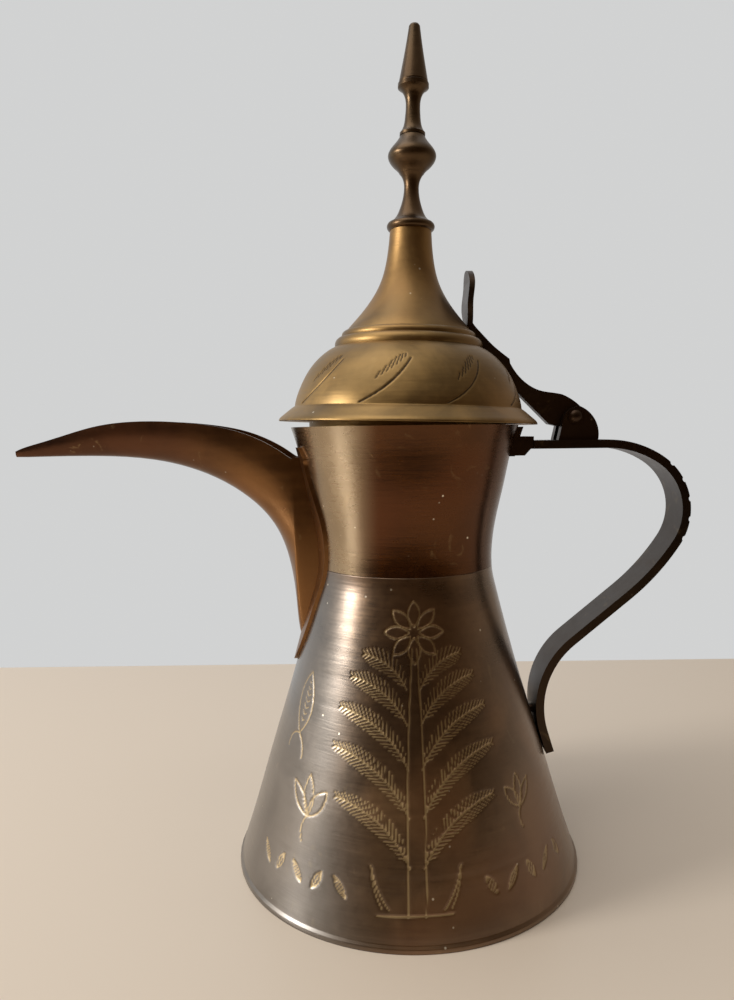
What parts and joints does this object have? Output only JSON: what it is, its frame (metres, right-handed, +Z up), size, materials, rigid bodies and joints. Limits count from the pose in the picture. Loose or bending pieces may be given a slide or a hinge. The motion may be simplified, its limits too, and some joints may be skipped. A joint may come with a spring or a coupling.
{
  "type": "dallah coffee pot",
  "caption": "Brass coffee pot with a conical body, waisted neck, long open beak spout, strap handle and a domed hinged lid with a spire and finial.",
  "frame": {"origin": "middle of the base, on the surface that the pot stands on", "axes": "+Z up through the finial, -X towards the tip of the spout, +X towards the handle, the hinge pin along Y"},
  "size_m": [0.2375, 0.1226, 0.29],
  "materials": {
    "skirt_brass": "aged brass, grey-brown patina, satin, with engraved lines",
    "neck_brass": "aged brass, dark red-brown patina, polished",
    "spout_brass": "aged brass, copper-brown patina, satin",
    "handle_brass": "aged brass, dark brown patina, worn edges",
    "hinge_brass": "aged brass, dark brown patina",
    "lid_brass": "aged brass, golden brown, satin",
    "finial_brass": "aged brass, brown, satin, turned",
    "arm_brass": "aged brass, dark brown patina"
  },
  "bodies": {
    "pot": {"lower_body": "skirt_brass", "base_plate": "skirt_brass", "neck": "neck_brass", "spout": "spout_brass", "handle_saddle": "handle_brass", "handle_block": "handle_brass", "handle_strap": "handle_brass", "handle_upper_rivet": "handle_brass", "handle_foot_rivets": "handle_brass", "hinge_ear_near": "handle_brass", "hinge_ear_far": "handle_brass", "hinge_pin": "hinge_brass", "hinge_washers": "hinge_brass"},
    "lid": {"lid_dome": "lid_brass", "lid_collar": "lid_brass", "spire_ring": "lid_brass", "spire": "lid_brass", "finial_foot": "finial_brass", "finial_bead": "finial_brass", "finial_spike": "finial_brass", "finial_stud": "finial_brass", "stud_nut": "finial_brass", "stud_washer": "finial_brass", "lid_arm": "arm_brass", "lid_arm_rivets": "arm_brass"}
  },
  "joints": [
    {"name": "lid_hinge", "type": "hinge", "parent": "pot", "child": "lid", "pos_m": [0.0595, 0, 0.1573], "axis": [0, 1, 0], "range_deg": [0, 110]}
  ]
}
